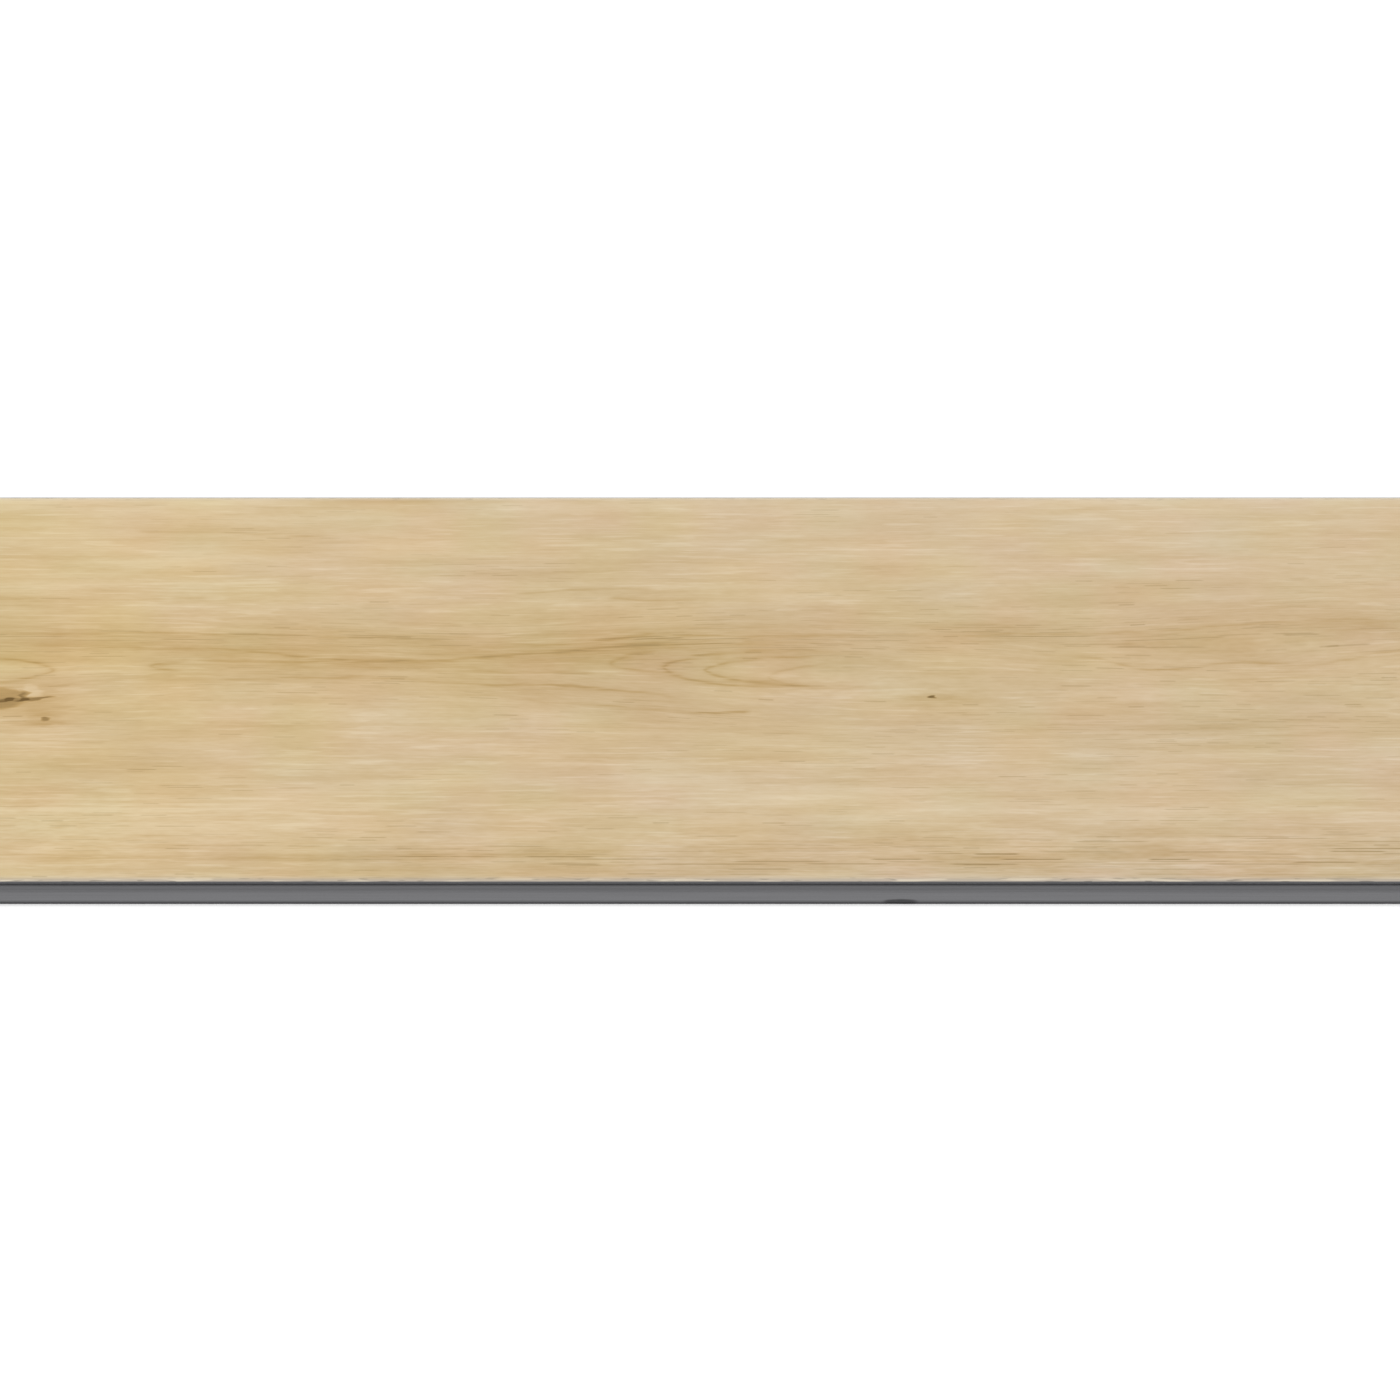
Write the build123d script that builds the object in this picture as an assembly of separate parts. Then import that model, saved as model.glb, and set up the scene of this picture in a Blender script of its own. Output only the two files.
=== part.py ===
from build123d import *
from math import atan2, degrees
import os

# A click-lock vinyl floor plank, lying face up. Sizes are in millimetres.
# X runs along the plank, Y across it and Z up. The origin is on the underside,
# below the middle of the face.

# Board, between the joint faces that meet the neighbouring planks
face_length = 1220.0
face_width = 180.0
plank_thickness = 5.0
decor_thickness = 0.6  # printed film and clear wear layer together
bevel_width = 0.9  # micro-bevel round the face, seen from above
bevel_depth = 0.5

# Groove side of the lock, out from the joint face and up from the underside
lip_reach = 6.5  # lower lip, past the joint face
lip_thickness = 1.35  # below the channel
channel_width = 2.5  # joint face to the foot of the locking ridge
ridge_height = 0.65  # above the channel
lock_run = 0.4  # width of the ridge's locking slope
lock_round = 0.12  # top and foot of the locking slope
ridge_round = 0.2  # outer top edge of the ridge
toe_round = 0.15  # lower outer edge of the lip
ramp_start = 0.9  # where the channel starts to rise to the groove
ramp_run = 1.4
ramp_round = 0.8
groove_rise = 0.25  # groove floor above the channel
groove_height = 1.4
groove_depth = 2.2  # joint face to the end of the groove
groove_round = 0.6
mouth_round = 0.15  # lower edge of the upper lip

# Fit of a tongue side in a neighbour's groove side
fit_gap = 0.05  # above and below the tongue, under the heel and at the locking slope
tip_gap = 0.3  # in front of the tongue's tip
lip_end_gap = 0.2  # past the end of the neighbour's lip
tongue_round = 0.55
recess_round = 0.3

# Dent pressed into the outer edge of the long side's lip
dent_place = 70.0  # along X
dent_length = 11.5  # along the edge
dent_depth = 0.35  # at the edge
dent_reach = 2.4  # in from the edge, where it dies out
dent_overrun = 0.4  # the dent's cutter ends this far past it, clear of the ridge

blank_overrun = 5.0  # blanks reach this far past the board

# Levels in the lock, up from the underside
ridge_top = lip_thickness + ridge_height
groove_floor = lip_thickness + groove_rise
groove_roof = groove_floor + groove_height
decor_base = plank_thickness - decor_thickness
bevel_foot = plank_thickness - bevel_depth

# Reach of the whole section past a joint face, on the tongue side
tongue_reach = groove_depth - tip_gap


def groove_side():
    """Corners from the underside up to the face: out from the joint face, up, corner radius."""
    return [
        (lip_reach, 0, toe_round),
        (lip_reach, ridge_top, ridge_round),
        (channel_width + lock_run, ridge_top, lock_round),
        (channel_width, lip_thickness, lock_round),
        (ramp_start, lip_thickness, ramp_round),
        (ramp_start - ramp_run, groove_floor, ramp_round),
        (-groove_depth, groove_floor, groove_round),
        (-groove_depth, groove_roof, groove_round),
        (0, groove_roof, mouth_round),
        (0, bevel_foot, 0),
        (-bevel_width, plank_thickness, 0),
    ]


def tongue_side():
    """Corners from the face down to the underside: the groove side's own, less the fit's gaps."""
    heel = lip_thickness + fit_gap
    tongue_bottom = groove_floor + fit_gap
    tongue_top = groove_roof - fit_gap
    recess_roof = ridge_top + fit_gap
    recess_end = lip_reach + lip_end_gap
    return [
        (-bevel_width, plank_thickness, 0),
        (0, bevel_foot, 0),
        (0, tongue_top, 0),
        (tongue_reach, tongue_top, tongue_round),
        (tongue_reach, tongue_bottom, tongue_round),
        (ramp_run - ramp_start, tongue_bottom, ramp_round),
        (-ramp_start, heel, ramp_round),
        (fit_gap - channel_width, heel, lock_round),
        (fit_gap - channel_width - lock_run, recess_roof, lock_round),
        (-recess_end, recess_roof, recess_round),
        (-recess_end, 0, 0),
    ]


def milled_section(plane, face_size, groove_sign):
    """Section through both locks, with the groove side towards groove_sign on the plane's x."""
    joint_face = face_size / 2
    corners = [(groove_sign * (joint_face + out), up, r) for out, up, r in groove_side()]
    corners += [(-groove_sign * (joint_face + out), up, r) for out, up, r in tongue_side()]
    points = [(across, up) for across, up, r in corners]
    radii = [r for across, up, r in corners]
    return make_face(plane * FilletPolyline(*points, radius=radii, close=True))


def milled_board():
    """The long sides are milled first, then the ends, so the two milled bars are intersected.

    At two corners the end's cutter frees a crumb of lip, which falls away.
    """
    half_blank = face_length / 2 + lip_reach + blank_overrun
    half_blank_width = face_width / 2 + lip_reach + blank_overrun
    long_sides = extrude(milled_section(Plane.YZ, face_width, -1), half_blank, both=True)
    ends = extrude(milled_section(Plane.XZ, face_length, 1), half_blank_width, both=True)
    pieces = long_sides & ends
    return pieces.solids().sort_by(SortBy.VOLUME)[-1]


def edge_dent():
    """Cylinder lying across the lip and sloping down outwards, so its trough dies out inwards."""
    radius = dent_length**2 / (8 * dent_depth) + dent_depth / 2
    slope = degrees(atan2(dent_depth, dent_reach))
    edge = Pos(dent_place, -face_width / 2 - lip_reach, ridge_top - dent_depth)
    lying = Rot(X=slope) * Pos(Z=radius) * Rot(X=90)
    return edge * lying * Cylinder(radius, 2 * (dent_reach + dent_overrun))


board = milled_board() - edge_dent()
decor_cut = Plane.XY.offset(decor_base)
decor_layer = split(board, bisect_by=decor_cut, keep=Keep.TOP)
rigid_core = split(board, bisect_by=decor_cut, keep=Keep.BOTTOM)

os.makedirs("parts", exist_ok=True)
export_step(rigid_core, "parts/rigid_core.step")
export_step(decor_layer, "parts/decor_layer.step")
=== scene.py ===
"""Finishes a click-lock vinyl floor plank: an embossed oak-print face, a milled grey core and a studio."""
import math

import bpy
import numpy as np
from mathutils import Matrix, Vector


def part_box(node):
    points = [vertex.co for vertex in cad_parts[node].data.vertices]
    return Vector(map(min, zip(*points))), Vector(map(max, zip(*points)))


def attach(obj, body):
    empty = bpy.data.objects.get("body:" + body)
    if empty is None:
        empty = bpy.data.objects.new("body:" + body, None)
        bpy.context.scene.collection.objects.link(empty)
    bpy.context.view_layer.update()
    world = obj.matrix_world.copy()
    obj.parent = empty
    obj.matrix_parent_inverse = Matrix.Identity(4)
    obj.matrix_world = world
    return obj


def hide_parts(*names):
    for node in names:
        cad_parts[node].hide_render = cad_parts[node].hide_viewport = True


bl_info = {
    "name": "Vinyl Floor Plank Finish",
    "version": (1, 0, 0),
    "blender": (4, 5, 0),
    "location": "View3D > Sidebar > Plank",
    "description": "Oak-print face, grey core and studio for a click-lock vinyl floor plank",
    "category": "Object",
}

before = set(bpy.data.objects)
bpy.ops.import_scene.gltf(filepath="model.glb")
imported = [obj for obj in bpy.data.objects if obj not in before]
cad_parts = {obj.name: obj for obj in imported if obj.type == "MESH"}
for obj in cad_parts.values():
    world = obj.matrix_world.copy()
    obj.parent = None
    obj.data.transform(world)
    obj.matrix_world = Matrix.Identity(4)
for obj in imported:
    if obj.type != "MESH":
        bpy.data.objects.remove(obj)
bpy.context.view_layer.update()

FACE_NODE = "decor_layer"
CORE_NODE = "rigid_core"
FACE_LOW, FACE_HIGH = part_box(FACE_NODE)
CORE_LOW, CORE_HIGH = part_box(CORE_NODE)
MM = 0.001
SAME_FACE = 0.01 * MM  # places closer than this lie on the same face


def bevel_size(node):
    """Width and depth of the bevel: what the flat top keeps clear of the side, and the side of the top."""
    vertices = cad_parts[node].data.vertices
    flat = np.empty(3 * len(vertices), np.float32)
    vertices.foreach_get("co", flat)
    places = flat.reshape(-1, 3).astype(float)
    on_top = places[:, 2] > FACE_HIGH.z - SAME_FACE
    on_side = places[:, 1] < FACE_LOW.y + SAME_FACE
    width = places[on_top, 1].min() - FACE_LOW.y
    depth = FACE_HIGH.z - places[on_side, 2].max()
    return float(width), float(depth)


BEVEL_WIDTH, BEVEL_DEPTH = bevel_size(FACE_NODE)
LIP_REACH = FACE_LOW.y - CORE_LOW.y


def screen_colour(red, green, blue):
    """Scene-linear colour of 0 to 255 screen values, by the standard screen curve."""
    screen = np.array([red, green, blue]) / 255
    linear = np.where(screen > 0.04045, ((screen + 0.055) / 1.055) ** 2.4, screen / 12.92)
    return tuple(float(part) for part in linear)


def length_setting(name, description, default):
    return bpy.props.FloatProperty(
        name=name,
        description=description,
        default=default,
        unit="LENGTH",
        subtype="DISTANCE",
        precision=5,
    )


def angle_setting(name, description, degrees):
    return bpy.props.FloatProperty(
        name=name, description=description, default=math.radians(degrees), subtype="ANGLE"
    )


def colour_setting(name, description, default):
    return bpy.props.FloatVectorProperty(
        name=name, description=description, default=default, size=3, min=0, max=1, subtype="COLOR"
    )


def amount_setting(name, description, default):
    return bpy.props.FloatProperty(name=name, description=description, default=default)


def count_setting(name, description, default):
    return bpy.props.IntProperty(name=name, description=description, default=default, min=2)


class PrintedFaceSettings(bpy.types.PropertyGroup):
    """Mesh and colours of the printed face."""

    columns: count_setting("Columns", "Grid steps along the plank", 380)
    rows: count_setting("Rows", "Grid steps across the plank", 220)
    emboss_depth: length_setting("Emboss depth", "Deepest pressed grain below the wear layer", 0.03 * MM)
    pore_depth: length_setting("Pore depth", "Bump depth of the finest fibres", 0.02 * MM)
    pale: colour_setting("Pale wood", "Earlywood at its palest", screen_colour(223, 204, 172))
    middle: colour_setting("Middle wood", "Average of the print", screen_colour(210, 186, 147))
    dark: colour_setting("Dark wood", "Latewood lines and a knot's brown", screen_colour(188, 158, 108))
    darkest: colour_setting("Darkest wood", "Slits and pin knots", screen_colour(110, 85, 40))
    bevel_paint: colour_setting("Bevel paint", "Grey paint on the bevel", screen_colour(194, 184, 170))
    # Also painted light: the far bevel's paint is mixed towards this pale colour.
    bevel_chip_and_light: colour_setting("Bevel chips", "Pale bits in the paint", screen_colour(228, 218, 198))


class OakGrainSettings(bpy.types.PropertyGroup):
    """Contrast of the oak print, in grey levels of 255."""

    fibre: amount_setting("Fibre", "Contrast of the fibres", 8.0)
    cloud: amount_setting("Clouds", "Contrast of the broad tone", 1.6)
    pore: amount_setting("Pores", "Depth of the dark pore dashes", 20.0)
    vein: amount_setting("Veins", "Depth of the long dark veins", 46.0)
    fleck: amount_setting("Flecks", "Height of the pale flecks", 8.0)
    line: amount_setting("Lines", "Depth of the drawn grain lines", 25.0)


class CoreSettings(bpy.types.PropertyGroup):
    """Colours of the rigid core, painted shade on its lip end, and shares of its painted light and shade.
    """

    grey: colour_setting("Core grey", "Core of stone powder and vinyl", screen_colour(117, 117, 119))
    # Painted shade: the end face of the lower lip is coloured darker, as it is in shade.
    lip_end_shade: colour_setting("Lip end", "Darker end face of the lower lip", screen_colour(80, 80, 82))
    # Painted light: the groove and the core off the lower lips are coloured paler, against their shade.
    groove_painted_light: amount_setting("Groove lift", "Share by which the groove is paler than the lip", 0.4)
    # Painted shade: the dent in the lip is coloured darker.
    dent_painted_shade: amount_setting("Dent rub", "Share by which the dent in the lip is darker", 0.65)


class StageSettings(bpy.types.PropertyGroup):
    """Floor, light and camera."""

    elevation: angle_setting("Elevation", "Camera above the horizon", 52)
    field_of_view: angle_setting("Field of view", "Angle the frame covers", 27)
    distance: length_setting("Distance", "Camera to the point it aims at", 1.072)
    aim_offset: length_setting("Aim offset", "Aim point before the middle of the face", 7.9 * MM)
    floor_colour: colour_setting("Floor", "Plain pale floor", (0.85, 0.85, 0.85))
    sky: amount_setting("Sky", "Strength of the even light from all round", 0.6)
    softbox: amount_setting("Softbox", "Strength of the overhead softbox", 25.0)


# Oak figure, drawn in millimetres
# Each grain line: points (along, across), then its darkness along it
GRAIN_LINES = (
    (  # heart line, and the sway it comes back with
        (
            (-610, 20), (-480, 14), (-360, 18), (-260, 15.7), (-200, 14.8), (-158, 11.9), (-139, 9.3),
            (-120, 8.3), (-104, 8.6), (-83, 10.2), (-37, 14.5), (0, 17.7), (60, 15), (130, 10.7),
            (148, 9.3), (163, 4.8), (180, 4.8), (195, 7.6), (228, 7), (245, 10.5), (260, 13.3), (330, 17),
            (450, 9), (610, 14),
        ),
        (
            (-610, 0.3), (-420, 0.5), (-300, 0.3), (-227, 0.45), (-170, 0.55), (-150, 1), (-20, 1.1),
            (-8, 0.3), (10, 0), (120, 0), (135, 0.4), (155, 0.8), (215, 0.75), (262, 0.5), (330, 0.3),
            (420, 0.6), (560, 0.2),
        ),
    ),
    (  # strand above the heart line
        (
            (-610, 28), (-450, 22), (-330, 24), (-261, 21), (-205, 22), (-149, 20.5), (-93, 18.1),
            (-50, 16.7), (-33, 18.6), (-19, 20.8), (0, 20.6), (63, 20.8), (164, 22.5), (187, 24.4),
            (210, 26.6), (262, 28), (400, 24), (610, 30),
        ),
        (
            (-610, 0.3), (-300, 0.4), (-255, 0.6), (-200, 0.6), (-93, 0.2), (-55, 0.5), (-40, 0.9),
            (-20, 0.9), (0, 0.45), (35, 0.35), (50, 0.5), (90, 0.3), (110, 0.4), (160, 0.5), (180, 0.25),
            (200, 0.5), (262, 0.4), (420, 0.3), (610, 0.4),
        ),
    ),
    (  # tie at the left, and the line below the sway
        (
            (-203, 5.3), (-195, 7.4), (-176, 8.6), (-152, 8.1), (-131, 8.6), (-90, 6), (140, 2), (177, 1),
            (207, -0.4), (232, 1.5), (258, 0.1), (330, 2),
        ),
        (
            (-206, 0), (-202, 0.6), (-190, 0.8), (-150, 0.6), (-131, 0.7), (-122, 0), (165, 0),
            (180, 0.35), (258, 0.4), (320, 0),
        ),
    ),
    (  # line below the heart
        (
            (-300, -6), (-241, -3.7), (-217, 0.1), (-184, -0.4), (-131, 0.8), (-101, -0.9), (-74, -2.6),
            (-51, -2.9), (-37, -4.4), (-14, -7.9), (100, -12),
        ),
        (
            (-252, 0), (-240, 0.3), (-205, 0.5), (-150, 0.5), (-131, 0.8), (-100, 0.6), (-51, 0.8),
            (-30, 0.8), (-14, 0.5), (-5, 0),
        ),
    ),
    (((-101, 3.1), (-65, 3.1), (-38, 2.9)), ((-108, 0), (-98, 0.4), (-60, 0.7), (-40, 0.7), (-34, 0))),
    (
        ((-66, -9.8), (-37, -12.1), (-18, -14.4), (-4, -15.6), (17, -15.3)),
        ((-75, 0), (-60, 0.4), (-30, 0.5), (-5, 0.6), (0, 1.1), (16, 1.1), (19, 0)),
    ),
    (((-215, 72.1), (-180, 71.6), (-149, 69.6)), ((-218, 0), (-213, 0.6), (-150, 0.45), (-140, 0))),
    (
        ((-264, 38.5), (-196, 38.5), (-33, 38.5), (-15, 37.6), (-4, 38.1)),
        ((-300, 0), (-262, 0.5), (-190, 0.3), (-180, 0), (-36, 0), (-32, 0.6), (-6, 0.4), (0, 0)),
    ),
    (((-72, 41), (-51, 42.5), (-19, 43.5)), ((-76, 0), (-66, 0.5), (-50, 0.6), (-22, 0.4), (-15, 0))),
)
LINE_WIDTH = 0.65
FLOW_LINES = GRAIN_LINES[:4]  # long lines that the fibres run along with
FLOW_WIDTH = 10.0  # where they are nearer than this
FLOW_CALM = 32.0  # their bends evened out over this length
FLOW_STRAIGHT = 0.2  # weight of the straight way beside a line's weight of 1

# Arches: tip along, tip across, spread, tilt, reach along, darkness. A negative reach opens to the left.
ARCHES = (
    (-33, 7.5, 1.0, 0.06, 40, 0.6),
    (-13.7, 5.2, 1.3, -0.02, 62, 1.0),
    (2.2, 4.2, 1.06, -0.02, 55, 1.05),
    (25, 0.9, 0.97, 0.02, 60, 0.5),
    (-239, 4.2, 1.03, 0.0, -40, 1.1),
    (-203, 6.1, 0.6, 0.0, 14, 0.9),
    (392, 7.0, 1.3, 0.02, 60, 0.9),
    (411, 6.0, 1.1, 0.0, 60, 1.0),
    (-468, 6.0, 1.1, 0.0, -60, 0.9),
)
ARCH_BEND = 20.0  # along from its tip an arch's arms bend level over about this length
ARCH_POWER = 1.5  # of the length across that makes the length along
ARCH_FULL = 0.2  # share of its reach where an arch is still at its full darkness

# Broad tone in grey levels
TONE_BASE = 0.9
# Bands run the whole length: middle across along it, tone along it, width
TONE_BANDS = (
    (  # heart
        (
            (-610, 17), (-260, 17), (-100, 13), (-30, 15), (30, 18), (100, 19), (180, 20), (262, 21),
            (610, 18),
        ),
        ((-610, -12), (-240, -12), (-100, -15), (-20, -16), (60, -12), (120, -9), (610, -10)),
        12.5,
    ),
    (  # near side
        ((-610, -81), (610, -81)),
        ((-610, -5), (-300, 0), (-230, 0), (-120, -8), (-40, -10), (60, -9), (610, -8)),
        9.0,
    ),
    (  # far side
        ((-610, 88), (610, 88)),
        (
            (-610, 5), (-250, 13), (-170, 12), (-140, -1), (-110, 0), (-60, 4), (100, 5), (180, 8),
            (610, 6),
        ),
        7.0,
    ),
)
# Patches: place along and across, width along and across, tone
TONE_PATCHES = (
    (-225, 50, 60, 30, 4), (-119, 88, 27, 1.5, -10), (-110, 66, 40, 12, 4), (-37, 47, 38, 12, -4),
    (190, 36, 90, 10, -6), (180, 76, 40, 10, 4), (-235, 4, 35, 6, 7), (-40, 12, 45, 14, -4),
    (-90, 0, 70, 9, -4), (-18, -8, 32, 9, -9), (-248, -13, 20, 9, -10), (185, 6, 45, 6, -5),
    (28, 3, 28, 7, -5), (140, -16, 160, 12, -6), (185, -23, 110, 6, -5), (-10, -30, 55, 11, -5),
    (-225, -42, 40, 5, -8), (-205, -66, 80, 10, 11), (-250, -82, 25, 10, 7), (15, -50, 35, 7, 9),
    (-38, -38, 11, 7, -8), (150, -58, 110, 9, 4), (-120, -57, 25, 8, 5), (200, 60, 24, 16, 4),
    (-200, 62, 45, 14, 3), (250, 40, 25, 7, -4), (60, -34, 40, 6, 4), (255, -24, 20, 12, -4),
    (195, -74, 35, 4, -6), (-470, 60, 80, 12, 4), (-430, -40, 90, 9, -5), (420, 55, 90, 10, -4),
    (470, -45, 80, 12, 5),
)
# Yellow of the print along the plank, in levels of blue taken out
YELLOW = (
    (-610, 1), (-400, 5), (-240, 8), (-130, 3), (-60, 0.5), (80, -1), (240, -2.5), (430, -1), (610, 1),
)
# Change of red, green and blue for one level of yellow or of red
YELLOW_GAINS = (0.003, 0.0, -0.0135)
RED_GAINS = (0.005, -0.005, 0.0)
TINT_SWING = 2.8  # levels by which the tint's clouds stray

# Strips along the face: middle across and width
NEAR_GREY = (-89, 9)
NEAR_VEINS = (-79, 9)
HEART_YELLOW = (12, 18)
HEART_PORES = (16, 10)
HEART_VEINS = (19, 7)
FAR_FEW_PORES = (70, 35)
FAR_CALM = (75, 32)
# Patches of the face: place along and across, width along and across
LEFT_CORNER = (-240, -66, 45, 12)
LEFT_FLECKS = (-190, -62, 110, 14)
RIGHT_FLECKS = (90, -36, 70, 9)
# Seeded noise over the face: cell along and across, seed
TONE_CLOUDS = ((90, 16, 11), (45, 7, 12))
PORE_CLOUDS = ((60, 9, 21), (22, 5, 22))
VEIN_CLOUDS = (90, 12, 23)
EMBOSS_CLOUDS = ((18, 1.7, 31), (40, 4, 32))
YELLOW_CLOUDS = (26, 11, 41)
RED_CLOUDS = (22, 12, 42)
EMBOSS_FADE = 3.0  # the pressed grain dies out over this distance from the bevel's foot
PAINT_FADE = (0.45, 0.12)  # share of the bevel's paint on the first grid lines of the flat top

# Sheet for baking, in shares of it: margin, top of the underside's strip, foot of the face above it
SHEET_MARGIN = 0.002
STRIP_TOP = 0.214
FACE_FOOT = 0.222


def smooth_line(knots, x):
    """Natural cubic spline through the knots, level beyond the first and last."""
    at, value = np.array(knots, float).T
    step = np.diff(at)
    slope = np.diff(value) / step
    count = len(at)
    system = np.eye(count)
    target = np.zeros(count)
    for k in range(1, count - 1):
        system[k, k - 1 : k + 2] = step[k - 1], 2 * (step[k - 1] + step[k]), step[k]
        target[k] = 6 * (slope[k] - slope[k - 1])
    bend = np.linalg.solve(system, target)
    x = np.clip(x, at[0], at[-1])
    k = np.clip(np.searchsorted(at, x) - 1, 0, count - 2)
    right = (x - at[k]) / step[k]
    left = 1 - right
    curve = (left**3 - left) * bend[k] + (right**3 - right) * bend[k + 1]
    return left * value[k] + right * value[k + 1] + curve * step[k] ** 2 / 6


def even_line(knots, x):
    """Straight runs from knot to knot, level beyond the first and last."""
    at, value = np.array(knots, float).T
    return np.interp(x, at, value)


def lattice_noise(x, y, cell_x, cell_y, seed):
    """Smooth noise from -1 to 1: seeded values on a lattice, blended in each cell by a quintic fade."""
    u = (x - x.min()) / cell_x
    v = (y - y.min()) / cell_y
    i = np.floor(u).astype(int)
    j = np.floor(v).astype(int)
    values = np.random.default_rng(seed).uniform(-1, 1, (i.max() + 2, j.max() + 2))
    fade_u = (u - i) ** 3 * ((u - i) * ((u - i) * 6 - 15) + 10)
    fade_v = (v - j) ** 3 * ((v - j) * ((v - j) * 6 - 15) + 10)
    low = values[i, j] * (1 - fade_u) + values[i + 1, j] * fade_u
    high = values[i, j + 1] * (1 - fade_u) + values[i + 1, j + 1] * fade_u
    return low * (1 - fade_v) + high * fade_v


def bell(distance, width):
    """Bell curve: 1 at no distance, 1/e at the width."""
    return np.exp(-((distance / width) ** 2))


def strip(y, middle, width):
    """Bell curve across the face."""
    return bell(y - middle, width)


def patch(x, y, along, across, length, width):
    """Bell curve both along and across the face."""
    return bell(x - along, length) * bell(y - across, width)


def rise(x, middle, run):
    """From 0 at the left to 1 at the right by a hyperbolic tangent, half at the middle."""
    return (1 + np.tanh((x - middle) / run)) / 2


def line_field(line, x, y):
    """Distance across from a grain line, a spline along the plank, and its darkness there."""
    points, darkness = line
    return y - smooth_line(points, x), np.clip(even_line(darkness, x), 0, None)


def fibre_across(x, y):
    """Place across that the fibres keep to: y less the rise of the long lines nearby, by nearness."""
    shift = np.zeros_like(x)
    weight = np.full_like(x, FLOW_STRAIGHT)
    for points, darkness in FLOW_LINES:
        line = np.mean([smooth_line(points, x + step) for step in (-FLOW_CALM, 0, FLOW_CALM)], axis=0)
        near = bell(y - line, FLOW_WIDTH)
        shift += near * (line - np.mean([across for along, across in points]))
        weight += near
    return y - shift / weight


def face_tone(x, y, cloud):
    """Broad light and dark in grey levels: the bands, the patches and slow clouds."""
    tone = np.full_like(x, TONE_BASE)
    for middle, depth, width in TONE_BANDS:
        tone += even_line(depth, x) * bell(y - smooth_line(middle, x), width)
    for *place, depth in TONE_PATCHES:
        tone += depth * patch(x, y, *place)
    for clouds in TONE_CLOUDS:
        tone += cloud * lattice_noise(x, y, *clouds)
    return tone


def print_tint(x, y):
    """Gains of red, green and blue: 1 and the gains of yellow and red times their levels.

    The print is yellower to the left and in the heart, greyer along the near side from about the middle
    on, and has soft clouds of both.
    """
    near_grey = strip(y, *NEAR_GREY) * rise(x, -40, 40)
    yellow = smooth_line(YELLOW, x) + 3 * strip(y, *HEART_YELLOW) - 4 * near_grey
    yellow += TINT_SWING * lattice_noise(x, y, *YELLOW_CLOUDS)
    red = TINT_SWING * lattice_noise(x, y, *RED_CLOUDS)
    return 1 + np.multiply.outer(yellow, YELLOW_GAINS) + np.multiply.outer(red, RED_GAINS)


def near_veins(x, y):
    """Share from 0 to 1 of the veined strip along the near side, more to the right."""
    return strip(y, *NEAR_VEINS) * (0.2 + 0.8 * rise(x, -90, 90))


def dash_density(x, y):
    """How thickly short dark pores, long dark veins and pale flecks stand, from 0 to 1.

    Pores are patchy, more in the heart and fewer towards the far side. Veins keep to the near side and to
    the heart. Flecks stand between pores, and thickly in two patches.
    """
    broad, small = (lattice_noise(x, y, *clouds) for clouds in PORE_CLOUDS)
    patchy = 0.5 * broad + 0.4 * small
    pore = 0.7 + 0.9 * patchy + 0.15 * strip(y, *HEART_PORES) - 0.35 * strip(y, *FAR_FEW_PORES)
    vein = 0.02 + 0.08 * lattice_noise(x, y, *VEIN_CLOUDS)
    vein += 0.85 * near_veins(x, y) + 0.55 * strip(y, *HEART_VEINS)
    pale = 0.3 - patchy + 0.5 * patch(x, y, *LEFT_FLECKS) + 0.4 * patch(x, y, *RIGHT_FLECKS)
    return np.clip(np.stack([pore, vein, pale], axis=-1), 0, 1)


def fibre_contrast(x, y):
    """Gain of the fibres: calmer at the far side, stronger in the near veins and the left near corner."""
    stronger = 0.6 * near_veins(x, y) + 0.6 * patch(x, y, *LEFT_CORNER)
    return 1 - 0.2 * strip(y, *FAR_CALM) + stronger


def emboss(x, y):
    """Pressed relief from 0 to 1: long shallow grain troughs, none at the bevel."""
    fine, coarse = (lattice_noise(x, y, *clouds) for clouds in EMBOSS_CLOUDS)
    trough = 0.5 + 0.25 * fine + 0.25 * coarse
    inset = np.minimum(np.abs(x).max() - np.abs(x), np.abs(y).max() - np.abs(y))
    return trough * np.clip(inset / EMBOSS_FADE, 0, 1)


def face_lines(low, high, steps):
    """Places of one axis's grid lines: the layer's foot, the bevel's foot, the flat top and back down."""
    flat = np.linspace(low + BEVEL_WIDTH, high - BEVEL_WIDTH, steps + 1)
    return np.concatenate([[low, low], flat, [high, high]])


def line_heights(steps):
    """Heights that go with face_lines."""
    flat = np.full(steps + 1, FACE_HIGH.z)
    foot = FACE_HIGH.z - BEVEL_DEPTH
    return np.concatenate([[FACE_LOW.z, foot], flat, [foot, FACE_LOW.z]])


def line_paint(steps):
    """Paint that goes with face_lines: full on the bevel, fading out on the first lines of the top."""
    flat = np.zeros(steps + 1)
    flat[: len(PAINT_FADE)] = PAINT_FADE
    flat[::-1][: len(PAINT_FADE)] = PAINT_FADE
    return np.concatenate([[1, 1], flat, [1, 1]])


def face_grid(columns, rows):
    """Grid over the face: x from the column, y from the row, z the lower of the two lines' heights."""
    along = face_lines(FACE_LOW.x, FACE_HIGH.x, columns)
    across = face_lines(FACE_LOW.y, FACE_HIGH.y, rows)
    x, y = np.meshgrid(along, across, indexing="ij")
    z = np.minimum.outer(line_heights(columns), line_heights(rows))
    return x, y, z


def cell_corners(grid):
    """The four corners of each cell of a grid, in the order that faces up."""
    return grid[:-1, :-1], grid[1:, :-1], grid[1:, 1:], grid[:-1, 1:]


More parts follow.
